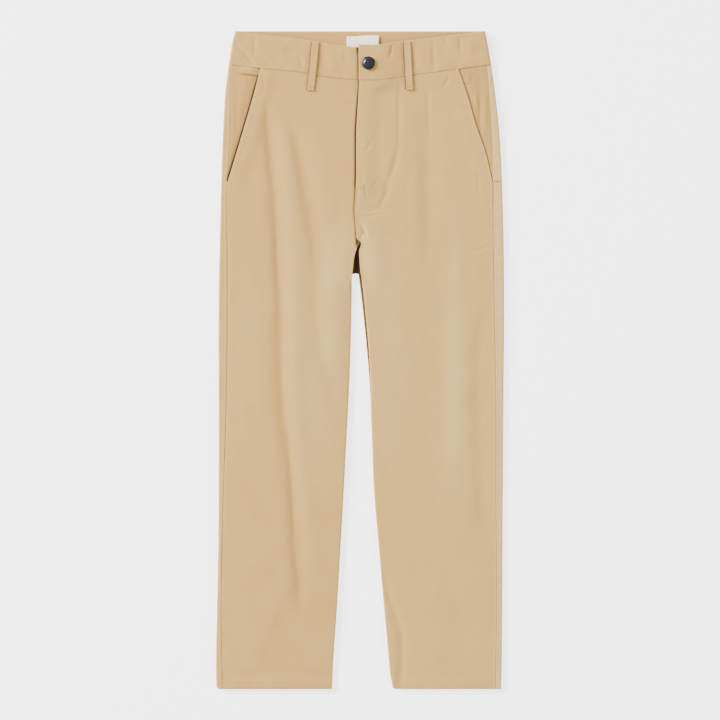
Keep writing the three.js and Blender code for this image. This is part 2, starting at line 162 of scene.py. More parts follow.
# The cloth: cotton twill, garment-dyed beige and washed, so it is matt with a faint bloom. Its diagonal ribs
# are drawn at 1.1 mm, coarser than the real 0.5 mm, so that they show, and so is its yarns' unevenness. Each
# sheet's tone paints the cloth paler along edges, partly as wear and partly as painted highlight, and on
# ridges as painted highlight, and darker as painted shade in troughs, seams, gaps and under lapping cloth.
RIGHT, LEFT = -1, 1
SIDE_NAME = {RIGHT: "right", LEFT: "left"}
LENGTH = 756
CLOTH = 1.2
TWILL_RIB = 1.1 * MM
TWILL_ANGLE = math.radians(63)
YARN_GRAIN = 1.11 * MM
DYE_PATCH = 38.5 * MM
WAVE_PERIOD = math.pi / 10
CREASE_FADE = 0.8
TWILL = "#B88E49"
TWILL_PALE = "#D0AF70"
TWILL_PAINTED_SHADE = "#3A1800"


cotton_twill, tree = new_material("cotton_twill")
grain = add(tree, "UVMap", {"uv_map": "grain"})
turned = add(tree, "Mapping", {"Rotation": (0, 0, TWILL_ANGLE)}, {"Vector": grain})
rib_wave = {"Scale": WAVE_PERIOD / TWILL_RIB, "Distortion": 1.6, "Detail": 2.0, "Detail Scale": 3.0}
ribs = add(tree, "TexWave", rib_wave, {"Vector": turned}).outputs["Fac"]
yarn = add(tree, "TexNoise", {"Scale": 1 / YARN_GRAIN, "Detail": 3.0}, {"Vector": grain})
patches = add(tree, "TexNoise", {"Scale": 1 / DYE_PATCH, "Detail": 4.0}, {"Vector": grain})
mottle_range = {"From Min": 0.3, "From Max": 0.75, "To Min": 0.0, "To Max": 0.14}
mottle = add(tree, "MapRange", mottle_range, {"Value": patches})
speckle_range = {"From Min": 0.2, "From Max": 0.8, "To Min": -0.08, "To Max": 0.08}
speckle = add(tree, "MapRange", speckle_range, {"Value": yarn})
uneven = add(tree, "Math", {"operation": "ADD"}, {0: mottle, 1: speckle})
# The tone attribute: wear and painted highlight where positive, painted shade where negative.
light_shade_and_wear = add(tree, "Attribute", {"attribute_name": "tone"}).outputs["Fac"]
paler = add(tree, "Math", {"operation": "ADD", "use_clamp": True}, {0: uneven, 1: light_shade_and_wear})
painted_shade_share = add(tree, "Math", {"operation": "MULTIPLY", "use_clamp": True, 1: -1.0}, {0: light_shade_and_wear})
dye_and_highlight_colours = {"data_type": "RGBA", "A": linear(TWILL), "B": linear(TWILL_PALE)}
dyed_and_highlighted = add(tree, "Mix", dye_and_highlight_colours, {"Factor": paler}).outputs["Result"]
shade = {"data_type": "RGBA", "B": linear(TWILL_PAINTED_SHADE)}
shaded = add(tree, "Mix", shade, {"Factor": painted_shade_share, "A": dyed_and_highlighted}).outputs["Result"]
weave = add(tree, "Math", {"operation": "ADD"}, {0: ribs, 1: yarn})
bump = add(tree, "Bump", {"Strength": 0.22, "Distance": 0.15 * MM}, {"Height": weave})
washed = {"Roughness": 0.88, "IOR": 1.45, "Sheen Weight": 0.18, "Sheen Roughness": 0.5}
shader = add(tree, "BsdfPrincipled", washed, {"Base Color": shaded, "Normal": bump})
add(tree, "OutputMaterial", links={"Surface": shader})


def table(columns, rows):
    """A short table with named columns, the first its key: gives back a smooth reading of one column, asked
    for by its name or by its side."""
    data = np.array(rows, float)
    keys = data[:, 0]
    last = len(keys) - 1
    before = np.maximum(np.arange(last + 1) - 1, 0)
    after = np.minimum(np.arange(last + 1) + 1, last)
    names = columns.split()

    def reading(column, key):
        values = data[:, names.index(SIDE_NAME.get(column, column))]
        slopes = (values[after] - values[before]) / (keys[after] - keys[before])
        key = np.asarray(key, float)
        i = np.clip(np.searchsorted(keys, key, side="right") - 1, 0, last - 1)
        span = keys[i + 1] - keys[i]
        u = np.clip((key - keys[i]) / span, 0, 1)
        v = 1 - u
        ends = v * v * (1 + 2 * u) * values[i] + u * u * (3 - 2 * u) * values[i + 1]
        return ends + u * v * span * (v * slopes[i] - u * slopes[i + 1])

    return reading


def ease(value, start, end):
    """0 before start, 1 after end and a smooth step between."""
    t = np.clip((np.asarray(value, float) - start) / (end - start), 0, 1)
    return t * t * (3 - 2 * t)


def bell(t):
    return np.exp(-np.square(t))


def mix(a, b, t):
    return a + (b - a) * t


def ruffled(across, down, size, seed):
    """Soft unevenness between about -1 and 1, with hills about one size wide."""
    shape = np.broadcast(across, down).shape
    x = np.broadcast_to(across, shape).ravel() / size
    y = np.broadcast_to(down, shape).ravel() / size
    values = [noise.noise(Vector((a, b, seed))) for a, b in zip(x, y)]
    return np.array(values).reshape(shape) * 1.7


def apply_modifier(piece, kind, **settings):
    """One modifier of the active piece, set and applied."""
    modifier = piece.modifiers.new(kind, kind)
    for name, value in settings.items():
        setattr(modifier, name, value)
    bpy.ops.object.modifier_apply(modifier=modifier.name)


def creases(rows, across, down):
    """Short ridges and troughs, a row for each: across and down of its start and of its end, its height, its
    width, and how far it bows sideways. Each dies out at both ends."""
    relief = 0 * across
    for start_across, start_down, end_across, end_down, height, width, bow in rows:
        run_x, run_y = end_across - start_across, end_down - start_down
        x, y = across - start_across, down - start_down
        length = math.hypot(run_x, run_y)
        t = (x * run_x + y * run_y) / length**2
        aside = (y * run_x - x * run_y) / length - bow * 4 * t * (1 - t)
        relief = relief + height * np.sin(math.pi * np.clip(t, 0, 1)) ** CREASE_FADE * bell(aside / width)
    return relief


def cloth(name, grids, wall, lie, flip=False, round_rim=0.3, material=cotton_twill):
    """A sheet of cloth from its middle surface, given as grids of across, down, height and tone whose rows
    run from waist to hem. flip turns its outside over. lie, from -1 to 1, pushes its wall outwards."""
    across, down, height, tone = [g[::-1, :: -1 if flip else 1] for g in np.broadcast_arrays(*grids)]
    rows, columns = across.shape
    deselect()
    bpy.ops.mesh.primitive_grid_add(x_subdivisions=columns - 1, y_subdivisions=rows - 1, calc_uvs=False)
    sheet = bpy.context.object
    sheet.name = name
    mesh = sheet.data
    mesh.name = name
    places = np.stack([across, LENGTH / 2 - down, height], axis=-1) * MM
    mesh.vertices.foreach_set("co", places.reshape(-1).astype(np.float32))
    step = np.linalg.norm(np.diff(places, axis=1), axis=2)
    along = np.concatenate([np.zeros((rows, 1)), np.cumsum(step, axis=1)], axis=1)
    along += places[:, :1, 0]
    grain = np.stack([along, places[..., 1]], axis=-1).reshape(-1, 2)
    corners = np.empty(len(mesh.loops), np.int32)
    mesh.loops.foreach_get("vertex_index", corners)
    mesh.uv_layers.new(name="grain").data.foreach_set("uv", grain[corners].reshape(-1).astype(np.float32))
    shade = mesh.attributes.new("tone", "FLOAT", "POINT")
    shade.data.foreach_set("value", tone.reshape(-1).astype(np.float32))
    mesh.update()
    apply_modifier(sheet, "SOLIDIFY", thickness=wall * MM, offset=lie)
    sharp = {"limit_method": "ANGLE", "angle_limit": math.radians(50)}
    apply_modifier(sheet, "BEVEL", width=round_rim * MM, segments=2, **sharp)
    bpy.ops.object.shade_smooth()
    mesh.materials.append(material)
    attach(sheet, "root")
    return sheet


# The fronts: a leg front each, cut off at the slanted pocket edge, the left lapping over the right at the
# fly. They lie on the backs, are sewn to them at the side seams and turn down to them at the inseams.
REST_GAP = 1.5
LAY_GAP = 0.4
SEAM_GAP = 0.3
VISIBLE_GAP = 0.05
PUFF = 0.9
BAND_HEIGHT = 38.5
BAND_RISE = 1.0
BAND_CLOTH = 1.8
BAND_GAP = 1.6
BAND_UNDERLAP = 24
BAND_TUCK = 1.3
INSEAM_HEIGHT = CLOTH + REST_GAP / 2
HIGHEST_FRONT = 5.3
CENTRE_BACK = -4.2
CROTCH = 278.5
FRONT_CROTCH = 242.4
CROTCH_TIP = 0.9
FLY_END = 178
FLY_UNDERLAP = 8
LAP_EASE = 30
POCKET_END = 174
FACING_TUCK = 10
SHELL = 0.8
SHELL_LIE = 0.5
HEM = 13
HEM_LINE = LENGTH - 0.9
HEM_FOLD_ROOM = 0.12
STITCH_GROOVE = 0.22
CURL_STEPS = 5
# How much paler the left front is painted, as if more light fell on that side.
LEFT_PAINTED_LIGHT = 0.08
SEAM_SHADE_END = 116
POCKET_LIFT = {RIGHT: 0.8, LEFT: 0.5}
HEM_CORNERS = [(-165.5, 2.6, 2.2), (36.5, 2.8, 2.6)]

side_edge = table("down right left", [
    (0, -143.2, 143.6), (11, -146.5, 146.1), (41, -151.3, 151.2), (68, -154.7, 155), (103, -156.9, 159.1),
    (149, -158.9, 162.3), (241, -161.3, 165.2), (330, -162.7, 165.8), (425, -162.6, 165),
    (528, -162.6, 164.3), (597, -163.1, 163.9), (666, -164.5, 163.6), (724, -165.6, 163.1),
    (756, -165.2, 162.3),
])
back_inner = table("down right left", [
    (278, -9.3, -1.8), (310, -9.6, 2.1), (356, -10.6, 6.8), (402, -12, 10.8), (459, -14.9, 13.2),
    (528, -18.5, 15.9), (597, -22.5, 21.8), (666, -26.6, 27.8), (724, -30.7, 33.1), (742, -31.5, 34.8),
    (756, -32.2, 37.5),
])
front_inner = table("down right left", [
    (242.4, 0.8, 1.3), (247.4, -2.6, 0.7), (252.3, -4.5, -1), (261, -6.8, -0.7), (276, -8.5, 0.4),
    (281, -9.4, 1.4), (310, -9.9, 5.1), (356, -10.9, 9.3), (402, -12.1, 11.9), (459, -15, 13.3),
    (528, -18.6, 16), (597, -22.6, 21.9), (666, -26.7, 27.9), (724, -30.8, 33.2), (742, -31.6, 34.9),
    (756, -32.3, 37.6),
])
centre_front = table("down across", [
    (16, -1.9), (40, -1.5), (56, -1), (68, -1.5), (80, -2.1), (98, -3.3), (115, -4.2), (135, -4.4),
    (166, -4.4), (180, -4.9), (195, -5.8), (208, -6.4), (221, -5.2), (232, -4.5), (241, -3.6), (252, -2.4),
])
side_seam_line = table("down right left", [
    (40, -149.6, 146), (120, -149.8, 151.5), (175, -152.8, 152.2), (310, -152.4, 154), (425, -153.6, 155.9),
    (528, -157, 156.1), (650, -159.4, 157), (756, -158.4, 155.5),
])
pocket_edge = table("down right left", [
    (44, -114.6, 112.8), (76, -122.9, 123.8), (108, -132.2, 133), (140, -141.8, 144.2), (174, -152.2, 152.1),
])
band_edges = {
    RIGHT: table("across top seam", [
        (-150, 0, 38.5), (-120, 3, 42.4), (-91, 6.7, 45.2), (-69, 9.3, 47.4), (-48, 12.9, 51.6),
        (-28, 15.8, 54.3), (-4, 18.6, 56), (30, 18.6, 56.6),
    ]),
    LEFT: table("across top seam", [
        (-5, 15.8, 56.5), (20, 16, 57), (39, 13.4, 54.6), (59, 10.8, 51.4), (88, 7.4, 47.4),
        (115, 3.8, 43.4), (150, 0, 38.5),
    ]),
}

# Each fold: its height, its width, where it starts and ends, and the line that it follows down the leg.
FOLDS = [
    (-1.0, 8, 66, 690, [(80, -108), (140, -102), (225, -96), (300, -92), (410, -91), (520, -79), (640, -69)]),
    (0.7, 11, 80, 660, [(80, -90), (180, -82), (300, -76), (410, -76), (520, -66), (640, -55)]),
    (-0.7, 9, 85, 470, [(100, -80), (160, -67), (260, -50), (340, -49), (450, -22)]),
    (0.6, 12, 150, 440, [(160, -48), (260, -33), (420, -28)]),
    (-0.8, 13, 60, 290, [(60, 76), (150, 79), (290, 80)]),
    (0.45, 12, 180, 540, [(210, 114), (420, 110)]),
    (-0.7, 9, 300, 600, [(300, 147), (380, 136), (600, 143)]),
    (-0.8, 5, 600, 800, [(610, 24), (640, 31), (674, 42), (700, 48), (760, 45.5)]),
    (0.9, 14, 190, 330, [(200, -14), (330, -20)]),
    (0.9, 14, 190, 330, [(200, 8), (330, 18)]),
]
FOLD_ENDS = 60
FOLD_GAIN = 1.35
fold_lines = [table("down across", line) for *_, line in FOLDS]

# The creases on the fronts.
FRONT_CREASES = [
    (-108, 76, -97, 205, -0.5, 3.2, 2), (-98, 180, -91, 340, -0.6, 3.0, 1),
    (-92, 320, -88, 470, -0.35, 3.4, 0), (-78, 105, -62, 190, -0.3, 4.5, 1),
    (-62, 175, -49, 300, -0.3, 4.5, 0), (-113, 48, -108, 66, -0.3, 1.6, 1), (-15, 84, -4, 84, -0.3, 2, 0),
    (45, 58, 44.5, 140, -0.6, 3.4, 0), (44.5, 128, 30.5, 180, -0.95, 3.4, -2),
    (31, 172, 22, 203, -1.0, 3.2, -3), (-4, 206, 27, 203, -1.0, 4.2, 2.5),
    (-4, 211, 26, 209, -0.8, 1.0, 2.5), (10, 198, 34, 192, 0.35, 5, 2), (13.8, 126, 4, 142, -0.45, 2.2, 0),
    (5.4, 174, 7.4, 193, -0.55, 1.1, 0), (2.2, 162, 3.2, 176, -0.3, 1.2, 0),
    (21, 168, 13, 180, -0.3, 1.4, -1), (0.2, 223, 8.8, 238, -1.2, 1.6, 0),
    (4.5, 221, 12.2, 236, 0.6, 2.2, 0), (2.8, 230, 0.8, 244, -0.7, 2.0, 0),
    (1.5, 238, -1.5, 250, -0.5, 1.8, 0), (77, 62, 79.5, 122, -0.5, 2.6, 0),
    (102.3, 51, 94.2, 66, -0.65, 1.6, -1), (60, 150, 52, 212, -0.3, 5, 2),
    (135.6, 158, 136.8, 187, -0.55, 1.5, 0), (126, 254, 150, 246, -0.5, 1.6, 1),
    (-158, 246, -150, 246, -0.3, 1.4, 0), (-86, 440, -76, 610, -0.6, 2.6, -2),
    (-76, 595, -68, 665, -0.35, 3.0, 1), (-46, 235, -30, 560, 1.2, 26, 6),
    (-128, 250, -126, 520, 0.7, 20, 0), (40, 230, 46, 520, 0.8, 22, 4), (112, 240, 108, 610, 0.9, 22, -4),
    (76, 110, 78, 280, -0.5, 9, 0), (-60, 90, -34, 190, 0.5, 14, 4), (20, 330, 60, 460, -0.3, 9, 6),
    (-140, 330, -120, 520, -0.28, 9, -6), (100, 600, 128, 720, -0.3, 8, 5),
    (-60, 620, -110, 735, -0.28, 8, 5),
]

# Lines of painted shade along the fronts' creases and over the crotch: rows as for creases, with the depth of
# their shade as height.
PAINTED_SHADE_LINES = [
    (-4, 211, 26, 208.5, 0.36, 0.8, 2), (0, 215, 18, 213, 0.05, 5, 0), (0.6, 226, 8, 236, 0.5, 0.9, 0),
    (1.2, 229, 2, 244, 0.13, 2.4, 0), (-4, 234, -4.4, 251, 0.45, 0.7, 0), (-4, 198, -2, 262, 0.14, 5, 0),
    (-83, 490, -77, 600, 0.09, 1.5, -1.5), (-78, 590, -71, 642, 0.07, 1.5, 0),
    (136.3, 160, 137, 186, 0.08, 1.2, 0), (102, 52, 95, 66, 0.1, 1.0, -1),
]


def puff_share(across, down):
    """From 0 at a leg's edges to 1 in its middle, or the same for the hips above the legs."""
    right, left = side_edge(RIGHT, down), side_edge(LEFT, down)
    inner_right = back_inner(RIGHT, np.maximum(down, CROTCH))
    inner_left = back_inner(LEFT, np.maximum(down, CROTCH))

    def arch(a, b):
        return np.sin(math.pi * np.clip((across - a) / (b - a), 0, 1))

    leg = np.where(across < CENTRE_BACK, arch(right, inner_right), arch(inner_left, left))
    return mix(arch(right, left), leg, ease(down, 170, 300))


def fold_relief(across, down):
    """What the long folds add to the height."""
    relief = 0
    for (height, width, start, end, _), line in zip(FOLDS, fold_lines):
        ends = ease(down, start, start + FOLD_ENDS) * (1 - ease(down, end - FOLD_ENDS, end))
        relief = relief + FOLD_GAIN * height * ends * bell((across - line("across", down)) / width)
    return relief


def of_side(rows, side):
    """The creases that start on one side of the centre back."""
    return [row for row in rows if (row[0] < CENTRE_BACK) == (side == RIGHT)]


def ridge_highlight_trough_shade(relief, pale, dark):
    """Painted light and shade on the folds: paler along their ridges and darker in their troughs."""
    return np.where(relief > 0, pale * relief, dark * relief)


def front_height(across, down):
    """Height of the middle of the front cloth, before any overlap lifts it."""
    z = CLOTH * 1.5 + REST_GAP + PUFF * puff_share(across, down) + fold_relief(across, down)
    seam = np.where(across < CENTRE_BACK, band_edges[RIGHT]("seam", across), band_edges[LEFT]("seam", across))
    z += BAND_RISE * (1 - ease(down - seam, 0, 28)) * ease(120 - np.abs(across), -15, 40)
    return np.minimum(z, HIGHEST_FRONT)


def side_turn(side, down, wall=CLOTH, height=front_height):
    """The half round of the turned side: its radius, its centre across and its top."""
    edge = side_edge(side, down)
    top = height(edge - side * (wall + 1), down)
    radius = (top - wall / 2) / 2
    return radius, edge - side * (wall / 2 + radius), top


def side_seam(side, down):
    """The side seam, kept off the turn itself."""
    limit = np.abs(side_turn(side, down)[1]) - 0.6
    return side * np.minimum(np.abs(side_seam_line(side, down)), limit)


def fly_lift(across, down):
    edge = centre_front("across", down)
    overlap = 1 - ease(across - edge, FLY_UNDERLAP + 0.5, LAP_EASE)
    return (CLOTH + LAY_GAP + 0.15) * overlap * (1 - ease(down, FLY_END + 3, FLY_END + 26))


def pocket_lift(side, across, down):
    past = side * (pocket_edge(side, down) - across)
    lift = POCKET_LIFT[side] * (1 - ease(past, FACING_TUCK, FACING_TUCK + 16))
    return lift * (1 - ease(down, POCKET_END + 8, POCKET_END + 40))


def lap_share(across):
    """How far the left half of the waistband is lifted over the end of the right half."""
    return 1 - ease(across, BAND_UNDERLAP, BAND_UNDERLAP + LAP_EASE)


def hang(side, down, across):
    """Rows near the waistband follow its seam, and are level further down."""
    dip = band_edges[side]("seam", across) + SEAM_GAP * 1.5 - BAND_HEIGHT
    return down + dip * (1 - ease(down, BAND_HEIGHT, 190))


def front_outer(side, down):
    seam = side_seam(side, down) - side * VISIBLE_GAP
    slant = side * np.minimum(np.abs(pocket_edge(side, down)), np.abs(seam))
    return np.where(down >= POCKET_END, seam, slant)


def front_edge_inner(side, down):
    """The inner edge: the fly edge or what lies under it, then the seam, the crotch's tip and the inseam."""
    edge = centre_front("across", down)
    if side == LEFT:
        above = mix(edge, CROTCH_TIP, ease(down, FRONT_CROTCH - 4, FRONT_CROTCH))
    else:
        underlap = FLY_UNDERLAP * (1 - ease(down, FLY_END - 26, FLY_END)) - VISIBLE_GAP
        above = mix(edge + underlap, CROTCH_TIP, ease(down, FRONT_CROTCH - 14, FRONT_CROTCH))
    inseam = front_inner(side, np.maximum(down, FRONT_CROTCH))
    return np.where(down > FRONT_CROTCH, inseam, above)


def band_height(side, across, down):
    """Height of the middle of the waistband's upper layer. The left half is lifted over the right."""
    lap = lap_share(across) if side == LEFT else 0
    puff = PUFF * 0.5 * puff_share(across, down)
    return BAND_CLOTH * 1.5 + BAND_GAP + puff + (BAND_CLOTH + LAY_GAP) * lap


def joined(*groups):
    """Groups of rows, each given as across, down, height and tone, one group after the other."""
    return [np.concatenate(parts) for parts in zip(*groups)]


def with_seam_allowance(side, across, down, height, tone):
    """Adds the top of a panel, rolled in under the waistband where it is sewn and painted dark as the shade
    there. Past the pockets the seam lies flush, so its painted shade is weaker there."""
    x, d, z, shade = across[:1], down[:1], height[:1], tone[:1]
    under = np.minimum(band_height(side, x, d) - BAND_TUCK, z)
    seam_shade_share = 1 - 0.8 * ease(np.abs(x), SEAM_SHADE_END - 6, SEAM_SHADE_END)
    rolled = [
        (x, d - 3.5, under, 0 * shade - 0.6 * seam_shade_share),
        (x, d - 1.6, mix(z, under, 0.85), 0 * shade - 0.5 * seam_shade_share),
        (x, d - 0.5, mix(z, under, 0.45), shade - 0.3 * seam_shade_share),
    ]
    return joined(*rolled, (across, down, height, tone))


def full_front_height(side, across, down):
    """The front with its overlaps, its creases, its stitched seams and the slack of worn-in cloth."""
    z = front_height(across, down) + pocket_lift(side, across, down)
    if side == LEFT:
        lift = fly_lift(across, down)
        to_band = np.maximum((BAND_CLOTH + LAY_GAP) * lap_share(across) - lift, 0)
        z = z + lift + to_band * (1 - ease(down - band_edges[LEFT]("seam", across), 0, 16))
    else:
        past = across - centre_front("across", down)
        z -= 1.1 * ease(past, -2.0, -0.1) * ease(down, FRONT_CROTCH - 30, FRONT_CROTCH - 18)
    z += creases(of_side(FRONT_CREASES, side), across, down)
    z = z + 0.16 * ruffled(across, down, 34, 3.1) + 0.07 * ruffled(across, down, 11, 8.4)
    inside = np.abs(across - front_outer(side, down))
    along_side = bell((inside - 1.5) / 5) * np.sin(down / 2.6 + 2.4 * ruffled(across * 0, down, 24, 1.7))
    z += 0.09 * along_side
    hem_line = LENGTH - HEM
    z = z - STITCH_GROOVE * bell((down - hem_line) / 1.2) - 0.3 * bell((down - hem_line + 5) / 4)
    roping = np.sin((across + down * 0.8) / 2.4 + 2 * ruffled(across, down * 0, 22, 5.2))
    z += 0.05 * roping * ease(down, hem_line - 4, hem_line + 3)
    return np.minimum(z, HIGHEST_FRONT + 2.2)


def curl(side, edge, height, angle, direction):
    """The last stretch of a section, bent up or down to the inseam: its columns across and their heights."""
    length = (np.abs(height - INSEAM_HEIGHT) - SEAM_GAP) * (math.pi / 2)
    end = edge + side * (CLOTH / 2) * np.sin(angle)
    bend = np.maximum(angle, 0.01)
    radius = length / bend
    turned = bend * np.linspace(0, 1, CURL_STEPS + 1)
    x = end + side * radius * (np.sin(bend) - np.sin(turned))
    z = height + direction * radius * (1 - np.cos(turned))
    return x, z


def spaced(stops, fine, coarse=None, fine_end=0):
    """A column of places between stops, each stop among them: fine steps, and coarse ones past an end."""
    parts = []
    for a, b in zip(stops, stops[1:]):
        step = fine if coarse is None or b <= fine_end else coarse
        parts.append(np.linspace(a, b, max(2, round((b - a) / step) + 1))[:-1])
    return np.concatenate([*parts, [stops[-1]]])[:, None]


def between(start, end, near_start, near_end, count):
    """Columns from edge to edge in every row: at given distances near both edges, evenly spread between."""
    width = np.abs(end - start)
    near_start, near_end = np.array(near_start, float), np.array(near_end, float)
    share = np.linspace(0, 1, count + 2)[1:-1]
    first = near_start + 0 * width
    last = width - near_end[::-1]
    middle = near_start[-1] + (width - near_end[-1] - near_start[-1]) * share
    return start + np.sign(end - start) * np.concatenate([first, middle, last], axis=1)


def with_turned_hem(across, down, height, tone, inwards):
    """Adds the hem allowance, turned inside at the hem and laid back along the cloth. Two corners are worn
    round."""
    for corner, worn_up, width in HEM_CORNERS:
        down = down - worn_up * bell((across - corner) / width) * ease(down, LENGTH - 24, LENGTH)
    gap = SHELL + HEM_FOLD_ROOM
    allowance = []
    for angle in (30, 60, 90, 120, 150, 180):
        turn = math.radians(angle)
        under = inwards * gap / 2 * (1 - math.cos(turn))
        allowance.append((across[-1:], down[-1:] + gap / 2 * math.sin(turn), height[-1:] + under, tone[-1:]))
    for back in (4, 8, HEM):
        k = np.argmin(np.abs(down[:, 0] - (LENGTH - back)))
        level = slice(k, k + 1)
        allowance.append((across[level], down[level], height[level] + inwards * gap, tone[-1:]))
    return joined((across, down, height, tone), *allowance)


OUTER_COLUMNS = [0, 0.4, 0.9, 1.5, 2.2, 3.2, 4.4, 6]
INNER_COLUMNS = {
    RIGHT: [*np.arange(0, 9, 0.5), 9.2, 10, 11],
    LEFT: [0, 0.5, 1.1, 1.8, 2.6, 3.4, 4.3, 5.2, 6.1, 7, 7.9, 8.8, 9.7, 10.7, 11.8, 13],
}
front_stops = [BAND_HEIGHT, BAND_HEIGHT + 0.7, POCKET_END, FLY_END, FRONT_CROTCH, FRONT_CROTCH + 4, CROTCH]
front_stops += [LENGTH - HEM, HEM_LINE]
for side in (RIGHT, LEFT):
    rows = spaced(front_stops, 1.5, 2.5, CROTCH)
    # The ends of a row and its dip depend on each other, so both are worked out until they settle.
    outer, inner = front_outer(side, rows), front_edge_inner(side, rows)
    for _ in range(6):
        outer = front_outer(side, hang(side, rows, outer))
        inner = front_edge_inner(side, hang(side, rows, inner))
    angle = math.pi / 2 * ease(rows, CROTCH + 2, CROTCH + 30)
    near_edge = inner + side * 2.4
    top = full_front_height(side, near_edge, hang(side, rows, near_edge))
    start = curl(side, inner, top, angle, -1)[0][:, :1]
    across = between(outer, start, OUTER_COLUMNS, INNER_COLUMNS[side], 72)
    down = hang(side, rows, across)
    height = full_front_height(side, across, down)
    end_x, end_z = curl(side, inner, height[:, -1:], angle, -1)
    across = np.concatenate([across, end_x[:, 1:]], axis=1)
    down = hang(side, rows, across)
    height = np.concatenate([height, end_z[:, 1:]], axis=1)
    outer_gap = np.abs(across - outer)
    inner_gap = np.abs(across - inner)
    seam_gap = down - band_edges[side]("seam", across)
    # Painted light and shade on the fronts: a paler band inside the outer edge, partly wear and partly
    # painted highlight, painted shade in the side seam, under the waistband seam, in the troughs and along
    # creases, and painted highlight on the ridges.
    tone = 0.3 * bell((outer_gap - 1.2) / 1.2) - 0.8 * bell(outer_gap / 0.4) * ease(down, POCKET_END, 200)
    tone -= 0.35 * bell((seam_gap - 0.4) / 0.55)
    tone += ridge_highlight_trough_shade(fold_relief(across, down), 0.26, 0.045)
    tone += ridge_highlight_trough_shade(creases(of_side(FRONT_CREASES, side), across, down), 0.22, 0.075)
    tone -= creases(PAINTED_SHADE_LINES, across, down)
    # The left front is painted paler, as if more light fell on it, with painted highlight along the fly's
    # edge and along the seam below it, and painted shade beside that seam.
    if side == LEFT:
        tone = tone + LEFT_PAINTED_LIGHT + 0.25 * bell((inner_gap - 1.0) / 0.9) * (down < FLY_END)
        below_fly = ease(down, FLY_END + 2, FLY_END + 6)
        tone += 0.5 * bell((inner_gap - 3.9) / 1.1) * below_fly * (1 - ease(down, 206, 213))
        tone -= 0.12 * bell((inner_gap - 1.2) / 1.2) * below_fly * (1 - ease(down, 224, 240))
    # Painted shadow on the right front where the left front laps over it at the fly.
    if side == RIGHT:
        past = across - centre_front("across", down)
        fly_shade = mix(0.9, 2.4, ease(down, 60, 100)) * (1 - 0.6 * ease(down, FLY_END - 4, FLY_END + 6))
        tone -= fly_shade * np.where(past < 0, bell(past / 1.7), 1) * (down < FRONT_CROTCH + 6)
    grids = with_seam_allowance(side, *with_turned_hem(across, down, height, tone, -1))
    name = f"front_{SIDE_NAME[side]}"
    panel = cloth(name + "_cloth", grids, SHELL, SHELL_LIE, flip=side == LEFT)
    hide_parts(name)

# The pocket facings: the cloth behind the slanted openings, sewn into the side seams and under the fronts.
# The left one gapes, so it is creased.
FACING_CREASES = [
    (118.5, 50, 129, 62, -0.6, 1.3, -3.5), (116, 53, 124, 54.5, -0.5, 1.0, 0),
    (118, 61, 129, 64, -0.7, 1.2, -1), (123, 48, 127, 58, 0.5, 2.0, 0),
    (137.5, 74, 138.5, 120, -0.9, 2.4, 0), (132.5, 66, 134.5, 88, 0.45, 2.2, 0),
    (143.5, 60, 145, 118, 0.35, 2.2, 0), (-128, 84, -134, 112, -0.45, 3.0, 1),
    (-141, 62, -142, 130, -0.25, 2.4, 0),
]
facing_low = CLOTH * 1.5 + LAY_GAP
for side in (RIGHT, LEFT):
    rows = spaced([BAND_HEIGHT, POCKET_END + 6], 1.1)
    seam = side_seam(side, rows) - side * VISIBLE_GAP * 2
    slant = pocket_edge(side, rows)
    tuck = slant - side * FACING_TUCK
    slack = np.minimum(1, np.abs(tuck - seam) / 15)
    near_slant = np.array([0, 4, 7, 8.6, 9.2, 9.7, 10.2, 10.7, 11.3, 12, 13, 14.5]) * slack
    near_end = near_slant[:, -1:]
    rest = (np.abs(tuck - seam) - near_end) * np.linspace(0, 1, 22)[1:] + near_end
    across = (tuck + side * np.concatenate([near_slant, rest], axis=1))[:, ::-1]
    shown = side * (across - slant)
    down = mix(rows, hang(side, rows, across), 1 - ease(rows, BAND_HEIGHT, 70))
    reach = np.clip(np.abs(seam - slant) * 0.8, 3, 14)
    rise = ease(shown / reach, -0.15, 1) if side == RIGHT else ease(shown / reach, -0.5, 0.75)
    height = mix(facing_low, front_height(across, rows), rise)
    for row in FACING_CREASES:
        height += creases([row], across, down) * ease(height, 2.2, 3.0)
    height += 0.08 * ruffled(across, down, 9, 4.4) * ease(shown, -1, 4)
    # Painted shade on the facings: dark in the gap under the front's slanted edge and a little over each
    # whole facing, with a painted highlight just below the waistband seam that lightens its shadow.
    edge_shade, even_shade = (2.4, 0.05) if side == RIGHT else (0.22, 0.09)
    tone = -edge_shade * np.where(shown > 0, bell(shown / 1.7), 1) * ease(down, 48, 54) - even_shade
    tone += 0.35 * bell((down - band_edges[side]("seam", across) - 0.8) / 0.9)
    if side == RIGHT:
        # The top of this facing is folded over once, just below the waistband, with painted shadow under the
        # fold.
        fold = 48.6 + (across + 137) * 0.12
        reach = ease(across, -141, -134)
        height += 0.5 * reach * (1 - ease(down, fold - 0.4, fold + 0.6)) * ease(shown, -6, 1)
        tone -= 0.8 * reach * bell((down - fold - 0.7) / 0.7)
    grids = with_seam_allowance(side, across, down, height, tone)
    name = f"pocket_facing_{SIDE_NAME[side]}"
    panel = cloth(name + "_cloth", grids, SHELL, SHELL_LIE, flip=side == LEFT)
    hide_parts(name)

